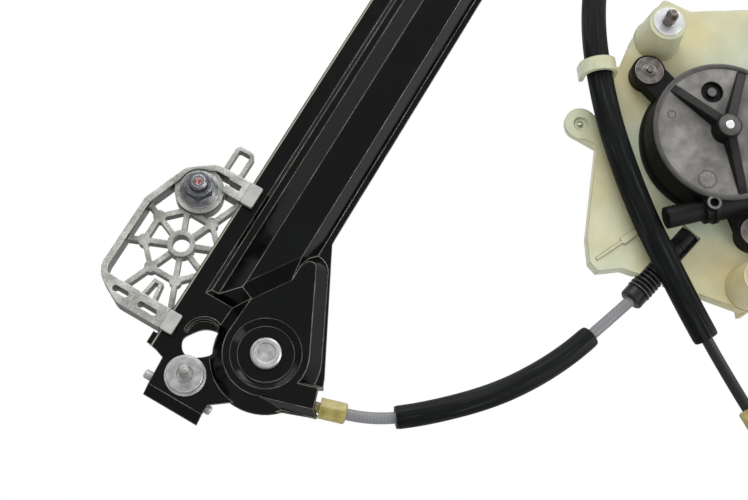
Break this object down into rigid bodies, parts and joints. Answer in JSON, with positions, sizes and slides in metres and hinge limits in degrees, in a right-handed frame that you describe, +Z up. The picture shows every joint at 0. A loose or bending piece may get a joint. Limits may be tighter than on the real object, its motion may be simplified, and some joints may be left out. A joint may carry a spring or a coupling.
{
  "type": "window regulator",
  "caption": "Dual-rail cable window regulator: two pressed rails with sliding glass carriers, rope conduits and a drum drive with geared motor.",
  "frame": {"origin": "centre of the seat of the front rail's lower stud, where it bears on the door panel", "axes": "+X from the front rail to the rear rail, +Z up the rails, -Y out of the face that carries the studs"},
  "size_m": [0.4238, 0.0497, 0.6007],
  "materials": {
    "black_coated_steel": "gloss black dip coat",
    "zinc_plated_steel": "zinc plated",
    "die_cast_aluminium": "as cast",
    "motor_steel": "drawn and plated",
    "rope_steel": "stranded",
    "pulley_plastic": "natural",
    "ivory_plastic": "moulded",
    "yellow_plastic": "moulded",
    "black_plastic": "moulded",
    "conduit_plastic": "extruded",
    "foam": "open-cell sleeve",
    "rubber": "moulded"
  },
  "bodies": {
    "regulator": {"connector": "black_plastic", "connector_pins": "zinc_plated_steel", "cross_pins": "zinc_plated_steel", "crossing_conduit": "conduit_plastic", "crossing_sleeve": "foam", "drive_plate": "ivory_plastic", "drum_cover": "zinc_plated_steel", "drum_ropes": "rope_steel", "drum_spindle": "zinc_plated_steel", "front_lower_fitting": "yellow_plastic", "front_lower_rivet": "zinc_plated_steel", "front_lower_stud": "zinc_plated_steel", "front_rail": "black_coated_steel", "front_rail_rope": "rope_steel", "front_upper_fitting": "yellow_plastic", "front_upper_rivet": "zinc_plated_steel", "front_upper_stud": "zinc_plated_steel", "gear_housing": "black_plastic", "housing_screws": "zinc_plated_steel", "lower_bellows": "rubber", "lower_conduit": "conduit_plastic", "lower_holder": "black_plastic", "lower_sleeve": "foam", "motor_can": "motor_steel", "motor_end_plate": "black_plastic", "plate_studs": "zinc_plated_steel", "plate_washers": "zinc_plated_steel", "rear_lower_fitting": "yellow_plastic", "rear_lower_rivet": "zinc_plated_steel", "rear_lower_stud": "zinc_plated_steel", "rear_rail": "black_coated_steel", "rear_rail_rope": "rope_steel", "rear_upper_fitting": "yellow_plastic", "rear_upper_rivet": "zinc_plated_steel", "rear_upper_stud": "zinc_plated_steel", "swivel_blocks": "black_plastic", "upper_bellows": "rubber", "upper_conduit": "conduit_plastic", "upper_holder": "black_plastic", "upper_sleeve": "foam"},
    "front_carrier": {"front_carrier_frame": "die_cast_aluminium", "front_lower_shoe": "black_plastic", "front_upper_shoe": "black_plastic", "front_glass_bolt": "zinc_plated_steel", "front_glass_nut": "zinc_plated_steel", "front_rope_nipples": "rope_steel"},
    "front_lower_wheel": {"front_lower_pulley": "pulley_plastic"},
    "front_upper_wheel": {"front_upper_pulley": "pulley_plastic"},
    "rear_carrier": {"rear_carrier_frame": "die_cast_aluminium", "rear_lower_shoe": "black_plastic", "rear_upper_shoe": "black_plastic", "rear_glass_bolt": "zinc_plated_steel", "rear_glass_nut": "zinc_plated_steel", "rear_rope_nipples": "rope_steel"},
    "rear_lower_wheel": {"rear_lower_pulley": "pulley_plastic"},
    "rear_upper_wheel": {"rear_upper_pulley": "pulley_plastic"},
    "drum": {"cable_drum": "pulley_plastic"}
  },
  "joints": [
    {"name": "front_carrier_slide", "type": "slide", "parent": "regulator", "child": "front_carrier", "axis": [0, 0, 1], "range_m": [0, 0.37]},
    {"name": "rear_carrier_slide", "type": "slide", "parent": "regulator", "child": "rear_carrier", "axis": [0, 0, 1], "range_m": [0, 0.37]},
    {"name": "front_lower_wheel_turn", "type": "hinge", "parent": "regulator", "child": "front_lower_wheel", "pos_m": [0.0269, 0.003, 0.0261], "axis": [0, 1, 0], "range_deg": [-2, 1213.4]},
    {"name": "front_upper_wheel_turn", "type": "hinge", "parent": "regulator", "child": "front_upper_wheel", "pos_m": [0.0269, 0.003, 0.4561], "axis": [0, 1, 0], "range_deg": [-2, 1213.4]},
    {"name": "rear_lower_wheel_turn", "type": "hinge", "parent": "regulator", "child": "rear_lower_wheel", "pos_m": [0.2761, 0.003, 0.112], "axis": [0, 1, 0], "range_deg": [-1213.4, 2]},
    {"name": "rear_upper_wheel_turn", "type": "hinge", "parent": "regulator", "child": "rear_upper_wheel", "pos_m": [0.2761, 0.003, 0.542], "axis": [0, 1, 0], "range_deg": [-1213.4, 2]},
    {"name": "drum_turn", "type": "hinge", "parent": "regulator", "child": "drum", "pos_m": [0.1595, 0.0089, 0.2255], "axis": [0, 1, 0], "range_deg": [-2, 1041.2]}
  ],
  "couplings": [
    {"joint": "rear_carrier_slide", "follows": "front_carrier_slide", "ratio": 1},
    {"joint": "front_lower_wheel_turn", "follows": "front_carrier_slide", "rad_per_m": 57.143},
    {"joint": "front_upper_wheel_turn", "follows": "front_carrier_slide", "rad_per_m": 57.143},
    {"joint": "rear_lower_wheel_turn", "follows": "front_carrier_slide", "rad_per_m": -57.143},
    {"joint": "rear_upper_wheel_turn", "follows": "front_carrier_slide", "rad_per_m": -57.143},
    {"joint": "drum_turn", "follows": "front_carrier_slide", "rad_per_m": 49.02}
  ]
}
